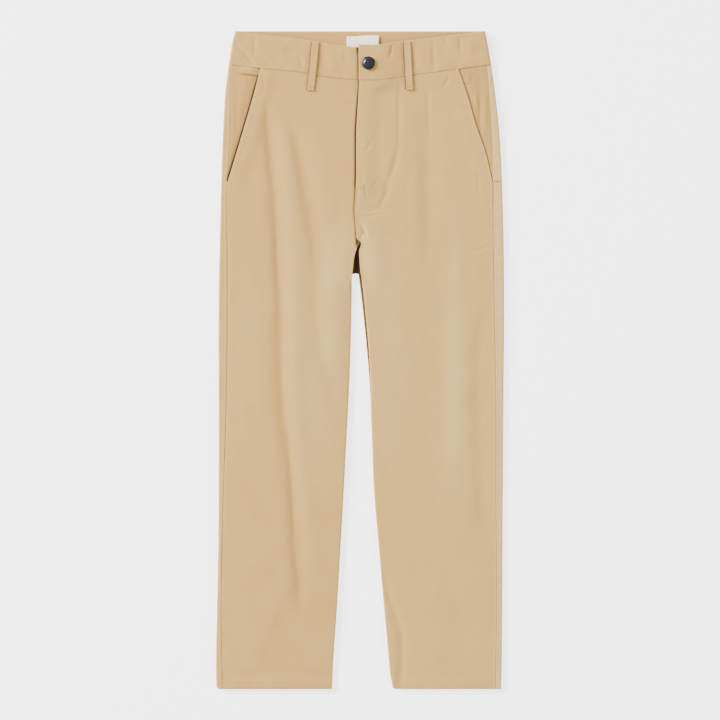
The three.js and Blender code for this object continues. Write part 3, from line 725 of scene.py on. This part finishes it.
# The backs: the leg backs with the seat. They lie on the floor, turn round the sides and end at the side
# seams on the front, where stitches hold the seam allowance. The seat between the legs is painted dark as
# deep shade.
# How far below the crotch the backs' inner edges stand fully turned up to the inseams.
BACK_CURL_END = {RIGHT: 24, LEFT: 100}
BACK_CREASES = [
    (-120, 330, -70, 350, 0.3, 6, 3), (60, 340, 120, 325, 0.3, 6, -3), (-110, 120, -60, 200, 0.25, 7, 4),
    (60, 190, 115, 110, 0.25, 7, 4), (-90, 480, -60, 640, 0.25, 9, 5), (80, 470, 110, 650, 0.25, 9, -5),
    (-30, 240, -10, 200, 0.3, 4, 1), (14, 205, 26, 245, 0.3, 4, 1),
]


def back_height(across, down):
    """The underside's cloth rests flat and lifts a little only in its soft creases."""
    return CLOTH / 2 + creases(BACK_CREASES, across, down)


def shade_seat(mesh):
    """Paints shade on the inner face of the seat, darkest deep between the legs, and none on the outer face
    on the floor.
    """
    places, normals = np.empty(len(mesh.vertices) * 3), np.empty(len(mesh.vertices) * 3)
    mesh.vertices.foreach_get("co", places)
    mesh.vertex_normals.foreach_get("vector", normals)
    across, up, height = (places.reshape(-1, 3) / MM).T
    down = LENGTH / 2 - up
    depth = 0.95 * bell((across + 4.5) / 16) * ease(down, 215, 246) * (1 - ease(down, 300, 420))
    depth = depth * (height < 2.4) * ease(normals.reshape(-1, 3)[:, 2], -0.9, -0.4)
    tone = np.empty(len(mesh.vertices), np.float32)
    mesh.attributes["tone"].data.foreach_get("value", tone)
    mesh.attributes["tone"].data.foreach_set("value", (tone - depth).astype(np.float32))


for side in (RIGHT, LEFT):
    rows = spaced([BAND_HEIGHT + 1.5, CROTCH, CROTCH + 1, LENGTH - HEM, HEM_LINE], 2.6)
    on_seat = rows <= CROTCH + 0.01
    radius, centre, _ = side_turn(side, rows)
    seam = side_seam(side, rows) + side * VISIBLE_GAP
    strip = seam + (centre - seam) * np.linspace(0, 1, 7)[:-1]
    strip_z = front_height(strip, rows)
    strip_z += 0.1 * np.sin(rows / 2.6 + 2.4 * ruffled(rows * 0, rows, 24, 1.7))
    strip_z += 0.18 * bell((np.abs(strip - seam) - 0.8) / 1.0)
    turn = np.radians(np.linspace(90, -90, 13))
    turn_x = centre + side * radius * np.cos(turn)
    turn_z = CLOTH / 2 + radius * (1 + np.sin(turn))
    edge = np.where(on_seat, CENTRE_BACK - side * 0.05, back_inner(side, rows))
    angle = np.where(on_seat, 0, math.pi / 2 * ease(rows, CROTCH + 4, CROTCH + BACK_CURL_END[side]))
    end_x, end_z = curl(side, edge, np.full(rows.shape, CLOTH / 2), angle, 1)
    floor_x = centre + (end_x[:, :1] - centre) * np.linspace(0, 1, 46)[1:-1]
    floor_z = back_height(floor_x, rows)
    across = np.concatenate([strip, turn_x, floor_x, end_x], axis=1)
    height = np.concatenate([strip_z, turn_z, floor_z, end_z], axis=1)
    down = rows + 0 * across
    from_seam = np.abs(across - seam)
    # Painted light and shade on the backs: a paler band beside the side seam, partly wear and partly painted
    # highlight, painted shade in the side seam and the centre-back seam, and the left strip on top painted
    # paler, as if more light fell on it.
    tone = 0.3 * bell((from_seam - 1.5) / 1.2) - 0.4 * bell(from_seam / 0.5) * ease(down, 170, 200)
    tone = tone * (height > 2)
    tone -= 0.3 * bell((across - CENTRE_BACK) / 0.6) * (down < CROTCH)
    if side == LEFT:
        tone += 0.55 * (np.abs(across) > np.abs(seam)) * (height > 1.6)
    inwards = np.sign(CLOTH + REST_GAP / 2 - height[-1])
    grids = with_turned_hem(across, down, height, tone, inwards)
    x, d, z, shade = (grid[:1] for grid in grids)
    on_top = np.arange(x.shape[1]) < strip.shape[1] + 4
    tucked = np.minimum(z, band_height(side, x, BAND_HEIGHT) - BAND_TUCK)
    top_row = (x, d - np.where(on_top, 3.0, 0.7), np.where(on_top, tucked, z), shade)
    name = f"back_{SIDE_NAME[side]}"
    panel = cloth(name + "_cloth", joined(top_row, grids), SHELL, SHELL_LIE, flip=side == RIGHT)
    shade_seat(panel.data)
    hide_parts(name)

# The waistband: two halves of folded twill with a stiffener inside, each running from the fly round a side to
# the centre back. The left one laps over the right, and both are stitched along their upper and lower edges.
BAND_SHELL = 1.4
BAND_LIE = 0.28
BAND_STITCH = 1.9
BAND_CREASE_GAIN = 1.4
BAND_CREASES = [
    (-145, 10, -119, 41, -0.8, 2.0, 1), (-141, 14, -131, 25, 0.4, 2.6, 1),
    (-122, 4, -120.5, 30, -0.5, 1.5, 0), (-107, 34, -104, 46, -0.4, 1.6, 0), (-92, 14, -86, 40, 0.25, 5, 0),
    (-70, 28, -66, 44, -0.55, 1.8, 0), (-34, 20, -30, 48, 0.25, 4, 0), (-18, 17, -16, 40, -0.35, 1.8, 0),
    (37, 15, 34, 33, -0.85, 1.4, 0), (84, 9, 86, 46, -0.6, 2.0, 1), (97, 8, 102, 18, -0.5, 1.6, 0),
    (114, 6, 116, 30, -0.7, 1.6, 0), (126, 4, 128, 34, 0.3, 4, 0), (21, 32, 34, 38, -0.55, 1.3, 0),
    (20, 40, 36, 47, -0.4, 1.6, 0), (49, 18, 54, 38, -0.4, 2, 0), (68, 14, 70, 44, 0.25, 4, 0),
]


def band_start(side):
    return centre_front("across", 40) + (BAND_UNDERLAP if side == RIGHT else 0)


buttonhole_across, buttonhole_down = (13, 32.5), 36.4
for side in (RIGHT, LEFT):
    v = np.linspace(0, 1, 30)[:, None]
    level = mix(0.3, BAND_HEIGHT, v)
    radius, centre, _ = side_turn(side, level, BAND_CLOTH, lambda x, d, s=side: band_height(s, x, d))
    front_x = band_start(side) + (centre - band_start(side)) * np.linspace(0, 1, 84)
    front_down = mix(band_edges[side]("top", front_x), band_edges[side]("seam", front_x), v)
    front_z = band_height(side, front_x, front_down)
    front_z += BAND_CREASE_GAIN * creases(of_side(BAND_CREASES, side), front_x, front_down)
    from_top, from_seam = v * BAND_HEIGHT, (1 - v) * BAND_HEIGHT
    front_z -= 0.16 * (bell(from_top - BAND_STITCH) + bell(from_seam - BAND_STITCH))
    puckers = np.sin(front_x / 2.2 + 2.6 * ruffled(front_x, 0 * front_x, 19, 6.6 + side))
    front_z += 0.13 * puckers * (bell(from_seam / 5) + 0.6 * bell(from_top / 4))
    front_z += 0.22 * ruffled(front_x, front_down, 13, 2.2) * ease(np.abs(front_x - centre), 0, 10)
    turn = np.radians(np.linspace(90, -90, 13))[1:]
    turn_x = centre + side * radius * np.cos(turn)
    turn_z = BAND_CLOTH / 2 + radius * (1 + np.sin(turn))
    turn_down = v * BAND_HEIGHT + 0 * turn_x
    back_x = centre + (CENTRE_BACK - side * 0.05 - centre) * np.linspace(0, 1, 66)[1:]
    back_down = v * (BAND_HEIGHT + 1.2) + 0 * back_x
    back_z = BAND_CLOTH / 2 + 0 * back_x
    across = np.concatenate([front_x, turn_x, back_x], axis=1)
    down = np.concatenate([front_down, turn_down, back_down], axis=1)
    height = np.concatenate([front_z, turn_z, back_z], axis=1)
    # Painted light and shade on the waistband: a painted highlight along the top edge, painted shade along
    # the seam and a little on the inside, and painted shadow on the right half beside the left half's lapped
    # edge.
    seam_shade_share = 1 - 1.6 * ease(np.abs(across), SEAM_SHADE_END - 6, SEAM_SHADE_END) * (height > 3)
    tone = 0.15 * bell(from_top / 1.2) - 0.2 * seam_shade_share * bell(from_seam / 0.8) - 0.05 * (height < BAND_CLOTH)
    if side == RIGHT:
        lap_edge = centre_front("across", down)
        tone -= mix(2.2, 1.3, ease(down, 20, 30)) * bell((across - lap_edge) / 1.7) * (height > 3)
    name = f"waistband_{SIDE_NAME[side]}"
    grids = (across, down, height, tone)
    panel = cloth(name + "_cloth", grids, BAND_SHELL, BAND_LIE, flip=side == RIGHT, round_rim=0.45)
    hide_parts(name)

# The belt loops: strips of the same twill, folded in three, stitched along both edges and pressed flat. Their
# ends are turned under and tacked down, the upper one on the waistband and the lower one on the front.
LOOP_CLOTH = 1.4
LOOP_WIDTH = 8.8
LOOP_TACK = 3.6
# How dark the painted shadow along each loop's edge is.
LOOP_SHADE = {RIGHT: 1.5, LEFT: 1.9}
# For each loop: where its top and its tail lie across, and how far the tail hangs below the waistband.
loop_places = {RIGHT: (-51.5, -57.4, 19), LEFT: (53.3, 56.6, 16)}
for side in (RIGHT, LEFT):
    top_x, tail_x, tail = loop_places[side]
    band_top = float(band_edges[side]("top", top_x))
    band_seam = float(band_edges[side]("seam", tail_x))
    first, last = band_top + 0.5, band_seam + tail
    down = spaced([first, last], 0.9)
    u = (down - first) / (last - first)
    cross = np.linspace(-0.5, 0.5, 13)
    across = mix(top_x, tail_x, u) + LOOP_WIDTH * cross + 0.25 * np.sin(u * 5 + side) * (1 - np.abs(cross))
    down = down + 0.35 * cross * np.sin(u * 3)
    on_band = band_height(side, across, np.minimum(down, band_seam)) + BAND_CLOTH / 2
    step_down = band_height(side, across, band_seam) + BAND_CLOTH / 2 - (down - band_seam - 2) * 0.3
    on_front = np.maximum(front_height(across, down) + CLOTH / 2, step_down)
    under = np.where(down <= band_seam + 2, on_band, on_front)
    slack = 0.3 * np.sin(math.pi * np.clip(u * 1.1, 0, 1))
    height = under + LAY_GAP * 0.5 + LOOP_CLOTH / 2 + slack
    tacks = bell((down - first - LOOP_TACK) / 0.9) + bell((last - LOOP_TACK - down) / 0.9)
    height = height - 0.42 * tacks + 0.1 * np.abs(cross) * 2
    height -= 0.12 * bell((np.abs(cross) - 0.33) / 0.07)
    # Painted light and shade on the loops: painted highlights inside both edges, painted shade in the tacks'
    # dips and along the edges, darkest as the shadow along one edge.
    tone = 0.3 * bell((np.abs(cross) - 0.38) / 0.07) - 0.22 * tacks
    tone = tone - LOOP_SHADE[side] * bell((cross + 0.5) / 0.09) - 0.12 * bell((cross - 0.5) / 0.06)
    name = f"belt_loop_{SIDE_NAME[side]}"
    panel = cloth(name + "_cloth", (across, down, height, tone), 1.1, 0.2, round_rim=0.4)
    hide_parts(name)

# The label: a cream ribbon, woven with fine cross ribs and left bare, sewn flat to the inside of the back
# waistband. Its lower edge lies behind the front.
LABEL_CLOTH = 1.0
RIBBON_RIB = 0.7 * MM
ribbon, tree = new_material("woven_cotton_ribbon")
grain = add(tree, "UVMap", {"uv_map": "grain"})
rib_wave = {"Scale": WAVE_PERIOD / RIBBON_RIB, "bands_direction": "Y"}
cross_ribs = add(tree, "TexWave", rib_wave, {"Vector": grain}).outputs["Fac"]
rib_bump = add(tree, "Bump", {"Strength": 0.3, "Distance": 0.12 * MM}, {"Height": cross_ribs})
woven = {"Base Color": linear("#FFF6DE"), "Roughness": 0.75, "Sheen Weight": 0.15}
shader = add(tree, "BsdfPrincipled", woven, {"Normal": rib_bump})
add(tree, "OutputMaterial", links={"Surface": shader})
u, v = np.meshgrid(np.linspace(0, 1, 27), np.linspace(0, 1, 13))
across = mix(-15.2, 21.6, u)
down = mix(6.2 - 1.2 * u + 0.3 * np.sin(u * 7), 21.0, v)
height = BAND_CLOTH + LAY_GAP + LABEL_CLOTH / 2 + 0.12 * np.sin(u * 9 + 1)
height += 0.1 * ruffled(across, down, 7, 9.9)
grids = (across, down, height, 0 * u)
panel = cloth("label_ribbon", grids, 0.7, 0, round_rim=0.15, material=ribbon)
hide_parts("label")

# The button: a polyester resin disc in navy, turned to a low dome with a shallow hollow round four holes, and
# polished, so that the light draws one soft bright patch on its shoulder. It is sewn on by a shank of thread.
BUTTON_ACROSS, BUTTON_DOWN, BUTTON_RADIUS, BUTTON_HEIGHT = 9.6, 37.4, 7.7, 3.1
HOLE_RADIUS, HOLE_REACH = 0.75, 1.6
HOLE_ASIDE = HOLE_REACH * 0.707
BOWL = 0.9
MARBLING = 2.63 * MM
resin, tree = new_material("polished_polyester_resin")
place = add(tree, "TexCoord").outputs["Object"]
cloud = add(tree, "TexNoise", {"Scale": 1 / MARBLING, "Detail": 3.0}, {"Vector": place})
navies = {"data_type": "RGBA", "A": linear("#0E0C17"), "B": linear("#171523")}
marbled = add(tree, "Mix", navies, {"Factor": cloud}).outputs["Result"]
polished = {"Roughness": 0.36, "IOR": 1.46, "Coat Weight": 0.1, "Coat Roughness": 0.15}
shader = add(tree, "BsdfPrincipled", polished, {"Base Color": marbled})
add(tree, "OutputMaterial", links={"Surface": shader})

# The button's profile from its underside to its middle: shares of its radius and of its height.
PROFILE = [
    (0.7, 0), (0.92, 0.08), (1, 0.2), (1, 0.38), (0.95, 0.46), (0.84, 0.52), (0.72, 0.62), (0.6, 0.82),
    (0.5, 0.96), (0.42, 1), (0.34, 0.96), (0.22, BOWL), (0.08, BOWL),
]
seat = float(band_height(LEFT, BUTTON_ACROSS, BUTTON_DOWN)) + BAND_CLOTH / 2 + LAY_GAP + 0.1
middle = Vector((BUTTON_ACROSS, LENGTH / 2 - BUTTON_DOWN, seat)) * MM
deselect()
bpy.ops.mesh.primitive_circle_add(
    vertices=40, radius=PROFILE[0][0] * BUTTON_RADIUS * MM, fill_type="NGON", location=middle
)
button = bpy.context.object
button.name = "button_resin"
bpy.ops.object.transform_apply(location=True, rotation=False, scale=False)
bpy.ops.object.mode_set(mode="EDIT")
bpy.ops.mesh.select_all(action="SELECT")
for (width, low), (next_width, high) in zip(PROFILE, PROFILE[1:]):
    rise = (0, 0, (high - low) * BUTTON_HEIGHT * MM)
    bpy.ops.mesh.extrude_region_move(TRANSFORM_OT_translate={"value": rise})
    spread = next_width / width
    bpy.ops.transform.resize(value=(spread, spread, 1), center_override=middle)
bpy.ops.mesh.select_all(action="SELECT")
bpy.ops.mesh.normals_make_consistent(inside=False)
bpy.ops.object.mode_set(mode="OBJECT")
apply_modifier(button, "SUBSURF", levels=2, render_levels=2)
for k in range(4):
    angle = math.radians(45 + 90 * k)
    deselect()
    spot = middle + Vector((math.cos(angle), math.sin(angle), 0)) * HOLE_REACH * MM
    bpy.ops.mesh.primitive_cylinder_add(vertices=24, radius=HOLE_RADIUS * MM, depth=12 * MM, location=spot)
    drill = bpy.context.object
    pick(button)
    apply_modifier(button, "BOOLEAN", object=drill)
    bpy.data.objects.remove(drill)
bpy.ops.object.shade_smooth_by_angle(angle=math.radians(35))
button.data.materials.append(resin)
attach(button, "root")
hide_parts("button")

# The sewing: polyester thread a shade paler than the cloth. Each stitch is a short bent thread whose ends go
# down into the cloth, so the places where it lies are read off the finished cloth from above or from below.
THREAD_RADIUS = 0.24
FINE_THREAD = 0.2
FLY_THREAD = 0.15
TACK_THREAD = 0.17
THREAD_TWIST = 0.385 * MM
STITCH_PITCH = 3.1
WELL_CLEAR = 50
STITCH_LENGTH = 2.5
thread, tree = new_material("polyester_thread")
place = add(tree, "TexCoord").outputs["Object"]
twist = add(tree, "TexNoise", {"Scale": 1 / THREAD_TWIST, "Detail": 2.0}, {"Vector": place})
plies = {"data_type": "RGBA", "A": linear("#B99663"), "B": linear("#CDB68B")}
strands = add(tree, "Mix", plies, {"Factor": twist}).outputs["Result"]
shader = add(tree, "BsdfPrincipled", {"Roughness": 0.6}, {"Base Color": strands})
add(tree, "OutputMaterial", links={"Surface": shader})
button_thread, tree = new_material("navy_thread")
shader = add(tree, "BsdfPrincipled", {"Base Color": linear("#23283A"), "Roughness": 0.6})
add(tree, "OutputMaterial", links={"Surface": shader})

bpy.context.view_layer.update()
depsgraph = bpy.context.evaluated_depsgraph_get()
cloths = [piece for piece in bpy.data.objects if piece.name.endswith(("_cloth", "_ribbon"))]
cloth_trees = [BVHTree.FromObject(piece, depsgraph) for piece in cloths if "loop" not in piece.name]
loop_trees = [BVHTree.FromObject(piece, depsgraph) for piece in cloths if "loop" in piece.name]


def surface(across, down, under=False, on_loop=False):
    """Height in mm of the outermost cloth, from above or from below, or nothing where a loop covers it."""
    away = -1 if under else 1
    start = Vector((across, LENGTH / 2 - down, away * WELL_CLEAR)) * MM

    def hits(trees):
        found = [tree.ray_cast(start, Vector((0, 0, -away)))[0] for tree in trees]
        return [hit.z / MM for hit in found if hit]

    loops = hits(loop_trees)
    if on_loop:
        return max(loops, default=None)
    heights = hits(cloth_trees)
    if not heights or (loops and not under):
        return None
    return min(heights) if under else max(heights)


def sew(name, paths, radius, material):
    """One object of round threads, each along its own row of places in mm."""
    line = bpy.data.curves.new(name, "CURVE")
    line.dimensions = "3D"
    line.bevel_depth = radius * MM
    line.bevel_resolution = 1
    line.use_fill_caps = True
    for path in paths:
        spline = line.splines.new("POLY")
        spline.points.add(len(path) - 1)
        for point, place in zip(spline.points, path):
            point.co = (*(Vector(place) * MM), 1)
    piece = bpy.data.objects.new(name, line)
    bpy.context.scene.collection.objects.link(piece)
    piece.data.materials.append(material)
    pick(piece)
    bpy.ops.object.convert(target="MESH")
    bpy.ops.object.shade_smooth()
    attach(piece, "root")


def walk(line, step):
    """Places an even step apart along a line of (across, down) corners, each with its direction there."""
    corners = [Vector(p) for p in line]
    lengths = [(b - a).length for a, b in zip(corners, corners[1:])]
    total = sum(lengths)
    places = []
    for k in range(int(total / step)):
        wanted, i = (k + 0.5) * step, 0
        while wanted > lengths[i] and i < len(lengths) - 1:
            wanted -= lengths[i]
            i += 1
        a, b = corners[i], corners[i + 1]
        places.append((a + (b - a) * wanted / lengths[i], (b - a).normalized()))
    return places


def stitches(
    line, length=STITCH_LENGTH, pitch=STITCH_PITCH, crosswise=False, under=False, proud=0.05, on_loop=False
):
    """Bent threads along a line, or across it for a tack, each laid on the cloth and sunk at both ends."""
    line = [(float(across), float(down)) for across, down in line]
    made = []
    chance = random.Random(len(line) * 31 + round(line[0][0] * 7))
    for spot, way in walk(line, pitch):
        if crosswise:
            way = Vector((-way.y, way.x))
        way.rotate(Matrix.Rotation(chance.uniform(-0.06, 0.06), 2))
        half = length * chance.uniform(0.46, 0.52)
        path = []
        for share, rise in ((-1, -0.35), (-0.72, 0.5), (0, 1), (0.72, 0.5), (1, -0.35)):
            place = spot + way * half * share
            z = surface(place.x, place.y, under, on_loop)
            if z is None:
                break
            lift = proud * rise if rise > 0 else rise
            path.append((place.x, LENGTH / 2 - place.y, z + (-lift if under else lift)))
        if len(path) == 5 and max(p[2] for p in path) - min(p[2] for p in path) < 1.6:
            made.append(path)
    return made


def curve(corners, steps=10):
    """A smooth line through its corners."""
    reading = table("key across down", [(k, *c) for k, c in enumerate(corners)])
    keys = np.linspace(0, len(corners) - 1, (len(corners) - 1) * steps + 1)
    return [(reading("across", k), reading("down", k)) for k in keys]


FINE_STITCH = {"pitch": 2.8, "length": 2.3}
side_threads, pocket_threads, band_threads, hem_threads = [], [], [], []
for side in (RIGHT, LEFT):
    rows = np.arange(192, LENGTH - HEM - 4, 6)
    side_threads += stitches([(side_seam(side, d) + side * 1.9, d) for d in rows], length=2.1)
    rows = np.linspace(56, POCKET_END - 4, 24)
    pocket_threads += stitches([(pocket_edge(side, d) - side * 4.8, d) for d in rows], **FINE_STITCH)
    inner = front_inner(side, LENGTH - HEM) + side * 3
    outer = side_seam(side, LENGTH - HEM) - side
    for under in (False, True):
        hem_threads += stitches([(inner, LENGTH - HEM), (outer, LENGTH - HEM + 0.4)], under=under)
    ends = band_start(side) + 2 if side == LEFT else -4.5
    xs = np.linspace(ends, side * 141, 40)
    for edge, inset in (("top", BAND_STITCH), ("seam", -BAND_STITCH)):
        band_threads += stitches([(x, band_edges[side](edge, x) + inset) for x in xs])
    for level in (BAND_STITCH, BAND_HEIGHT - BAND_STITCH):
        band_threads += stitches([(CENTRE_BACK + side * 2, level), (side * 140, level)], under=True)
    if side == RIGHT:
        band_threads += stitches([(-118, 1.9), (-16, 1.9)]) + stitches([(22, 1.9), (118, 1.9)])
band_threads += stitches([(0.2, 18), (0.4, 54)])
sew("side_seam_stitching", side_threads, THREAD_RADIUS, thread)
sew("pocket_stitching", pocket_threads, FINE_THREAD, thread)
sew("hem_stitching", hem_threads, FINE_THREAD, thread)
sew("waistband_stitching", band_threads, FINE_THREAD, thread)

# The fly is stitched in a J from the waistband to its foot, and below it the centre-front seam once more.
fly_line = [
    (42.5, 58), (42.5, 92), (41.3, 126), (37.5, 143), (31.5, 156), (22, 169), (10, 178.5), (-3, 182.2),
]
seam_line = [(centre_front("across", d) + 2, d) for d in np.linspace(186, 240, 20)]
fly_threads = stitches(curve(fly_line), **FINE_STITCH) + stitches(seam_line, **FINE_STITCH)
sew("fly_stitching", fly_threads, FLY_THREAD, thread)

# Bartacks: rows of close stitches across a short line, at the foot of the fly, at the pockets' feet and at
# the loops' ends. The loops are stitched along both edges too, and the buttonhole is edged like a tack.
TACKS = [
    ((-3.6, 180.2), (3.6, 180.6), 2.2), ((-154.2, 163), (-154.6, 173), 2.4),
    ((153.5, 172.6), (160.5, 172.8), 2.2),
]
tacks = []
for start, end, length in TACKS:
    tacks += stitches([start, end], length=length, pitch=0.55, crosswise=True, proud=0.2)
for side in (RIGHT, LEFT):
    top_x, tail_x, tail = loop_places[side]
    top_d = band_edges[side]("top", top_x) + 0.5 + LOOP_TACK
    tail_d = band_edges[side]("seam", tail_x) + tail - LOOP_TACK
    for x, d in ((top_x + 0.3, top_d), (tail_x, tail_d)):
        line = [(x - 3.9, d), (x + 3.9, d)]
        tacks += stitches(line, length=1.6, pitch=0.5, crosswise=True, proud=0.12, on_loop=True)
    for aside in (-2.9, 2.9):
        line = [(top_x + aside, top_d + 2), (tail_x + aside, tail_d - 2)]
        tacks += stitches(line, length=2.0, pitch=2.6, on_loop=True)
for low in (-0.75, 0.75):
    line = [(x, buttonhole_down + low) for x in buttonhole_across]
    tacks += stitches(line, length=1.3, pitch=0.5, crosswise=True, proud=0.1)
end = buttonhole_across[1] + 0.6
line = [(end, buttonhole_down - 1.2), (end, buttonhole_down + 1.2)]
tacks += stitches(line, length=1.3, pitch=0.45, crosswise=True)
sew("bar_tacks", tacks, TACK_THREAD, thread)

# The button's thread: three strands over each pair of holes, down through the cloth under them.
shank = []
for row in (-1, 1):
    for strand in (-0.28, 0, 0.28):
        x, y = HOLE_ASIDE, row * HOLE_ASIDE + strand
        low, over = seat - 0.6, seat + BUTTON_HEIGHT * BOWL + 0.2
        arc = [(-x, low), (-x, over - 0.5), (-x * 0.8, over - 0.05), (0, over + 0.05)]
        arc += [(x * 0.8, over - 0.05), (x, over - 0.5), (x, low)]
        shank.append([(BUTTON_ACROSS + a, LENGTH / 2 - BUTTON_DOWN + y, z) for a, z in arc])
sew("button_thread", shank, TACK_THREAD, button_thread)
